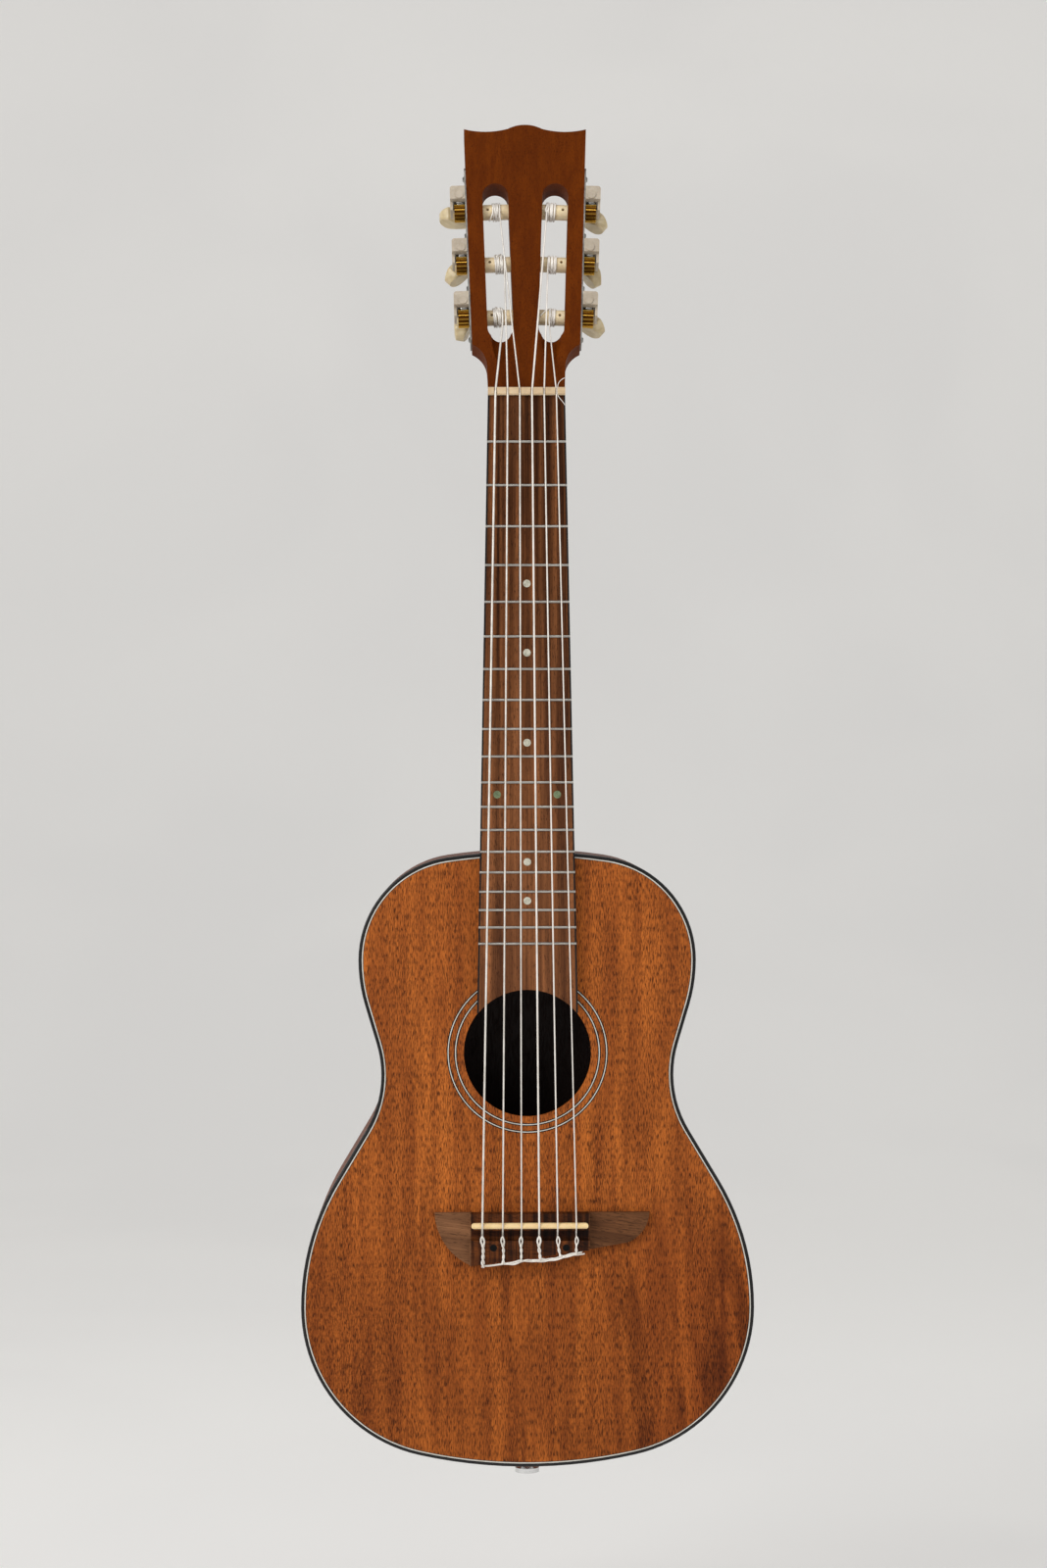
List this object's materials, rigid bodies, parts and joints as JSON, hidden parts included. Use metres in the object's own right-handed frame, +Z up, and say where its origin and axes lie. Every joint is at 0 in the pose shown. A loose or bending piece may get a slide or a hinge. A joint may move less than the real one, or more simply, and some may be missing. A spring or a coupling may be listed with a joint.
{
  "type": "guitalele",
  "caption": "Small guitar of ukulele size with a slotted head, geared tuners, fretted neck, waisted hollow body with a round soundhole, and a tie bridge.",
  "frame": {"origin": "the hanger rest: on the middle line, in the plane of the soundboard's face, where a wall hanger's arms carry the shoulders of the head, 17 mm above the nut's lower edge", "axes": "+Z up the neck to the head, +X to the treble side, -Y out of the soundboard towards the strings, +Y to the back and the wall"},
  "size_m": [0.2392, 0.0817, 0.7271],
  "materials": {
    "soundboard": "satin lacquer",
    "body_wood": "satin lacquer",
    "inner_wood": "bare",
    "black_trim": "gloss",
    "white_trim": "gloss",
    "bridge_wood": "oiled",
    "bone": "polished",
    "neck_wood": "satin lacquer",
    "fingerboard_wood": "oiled",
    "fret_metal": "polished",
    "marker": "gloss",
    "tuner_plate": "polished",
    "screw_steel": "polished",
    "housing_plastic": "gloss",
    "knob_plastic": "gloss",
    "worm_steel": "polished",
    "gear_brass": "polished",
    "roller_plastic": "gloss",
    "nylon": "clear",
    "wound_string": "fine winding",
    "strap_metal": "polished"
  },
  "bodies": {
    "root": {"soundboard": "soundboard", "back_plate": "body_wood", "side_bass": "body_wood", "side_treble": "body_wood", "neck_block": "inner_wood", "tail_block": "inner_wood", "linings": "inner_wood", "soundboard_braces": "inner_wood", "back_braces": "inner_wood", "bridge_plate": "inner_wood", "binding": "black_trim", "rosette_black": "black_trim", "fingerboard_binding": "black_trim", "purfling": "white_trim", "rosette_white": "white_trim", "bridge": "bridge_wood", "bridge_plugs": "bridge_wood", "saddle": "bone", "nut": "bone", "neck": "neck_wood", "headstock": "neck_wood", "fingerboard": "fingerboard_wood", "frets": "fret_metal", "position_markers": "marker", "tuner_plate_bass": "tuner_plate", "tuner_plate_treble": "tuner_plate", "plate_screws": "screw_steel", "worm_housings": "housing_plastic", "string_1": "nylon", "string_2": "nylon", "string_3": "nylon", "string_4": "wound_string", "string_5": "wound_string", "string_6": "wound_string", "strap_button": "strap_metal", "strap_screw": "strap_metal"},
    "knob_body_1": {"knob_1": "knob_plastic", "worm_1": "worm_steel"},
    "roller_body_1": {"roller_1": "roller_plastic", "gear_1": "gear_brass"},
    "knob_body_2": {"knob_2": "knob_plastic", "worm_2": "worm_steel"},
    "roller_body_2": {"roller_2": "roller_plastic", "gear_2": "gear_brass"},
    "knob_body_3": {"knob_3": "knob_plastic", "worm_3": "worm_steel"},
    "roller_body_3": {"roller_3": "roller_plastic", "gear_3": "gear_brass"},
    "knob_body_4": {"knob_4": "knob_plastic", "worm_4": "worm_steel"},
    "roller_body_4": {"roller_4": "roller_plastic", "gear_4": "gear_brass"},
    "knob_body_5": {"knob_5": "knob_plastic", "worm_5": "worm_steel"},
    "roller_body_5": {"roller_5": "roller_plastic", "gear_5": "gear_brass"},
    "knob_body_6": {"knob_6": "knob_plastic", "worm_6": "worm_steel"},
    "roller_body_6": {"roller_6": "roller_plastic", "gear_6": "gear_brass"}
  },
  "joints": [
    {"name": "knob_turn_1", "type": "hinge", "parent": "root", "child": "knob_body_1", "pos_m": [0.03345, 0.02015, 0.03341], "axis": [0, 0.9659, -0.2588], "continuous": true},
    {"name": "roller_turn_1", "type": "hinge", "parent": "root", "child": "roller_body_1", "pos_m": [0.03321, 0.01836, 0.02675], "axis": [0.9994, -0.0089, -0.0332], "continuous": true},
    {"name": "knob_turn_2", "type": "hinge", "parent": "root", "child": "knob_body_2", "pos_m": [0.0345, 0.02807, 0.063], "axis": [0, 0.9659, -0.2588], "continuous": true},
    {"name": "roller_turn_2", "type": "hinge", "parent": "root", "child": "roller_body_2", "pos_m": [0.03426, 0.02629, 0.05634], "axis": [0.9994, -0.0089, -0.0332], "continuous": true},
    {"name": "knob_turn_3", "type": "hinge", "parent": "root", "child": "knob_body_3", "pos_m": [0.03555, 0.036, 0.09259], "axis": [0, 0.9659, -0.2588], "continuous": true},
    {"name": "roller_turn_3", "type": "hinge", "parent": "root", "child": "roller_body_3", "pos_m": [0.03531, 0.03422, 0.08593], "axis": [0.9994, -0.0089, -0.0332], "continuous": true},
    {"name": "knob_turn_4", "type": "hinge", "parent": "root", "child": "knob_body_4", "pos_m": [-0.03555, 0.036, 0.09259], "axis": [0, 0.9659, -0.2588], "continuous": true},
    {"name": "roller_turn_4", "type": "hinge", "parent": "root", "child": "roller_body_4", "pos_m": [-0.03531, 0.03422, 0.08593], "axis": [0.9994, 0.0089, 0.0332], "continuous": true},
    {"name": "knob_turn_5", "type": "hinge", "parent": "root", "child": "knob_body_5", "pos_m": [-0.0345, 0.02807, 0.063], "axis": [0, 0.9659, -0.2588], "continuous": true},
    {"name": "roller_turn_5", "type": "hinge", "parent": "root", "child": "roller_body_5", "pos_m": [-0.03426, 0.02629, 0.05634], "axis": [0.9994, 0.0089, 0.0332], "continuous": true},
    {"name": "knob_turn_6", "type": "hinge", "parent": "root", "child": "knob_body_6", "pos_m": [-0.03345, 0.02015, 0.03341], "axis": [0, 0.9659, -0.2588], "continuous": true},
    {"name": "roller_turn_6", "type": "hinge", "parent": "root", "child": "roller_body_6", "pos_m": [-0.03321, 0.01836, 0.02675], "axis": [0.9994, 0.0089, 0.0332], "continuous": true}
  ],
  "couplings": [
    {"joint": "roller_turn_1", "follows": "knob_turn_1", "ratio": 0.071429},
    {"joint": "roller_turn_2", "follows": "knob_turn_2", "ratio": 0.071429},
    {"joint": "roller_turn_3", "follows": "knob_turn_3", "ratio": 0.071429},
    {"joint": "roller_turn_4", "follows": "knob_turn_4", "ratio": 0.071429},
    {"joint": "roller_turn_5", "follows": "knob_turn_5", "ratio": 0.071429},
    {"joint": "roller_turn_6", "follows": "knob_turn_6", "ratio": 0.071429}
  ]
}
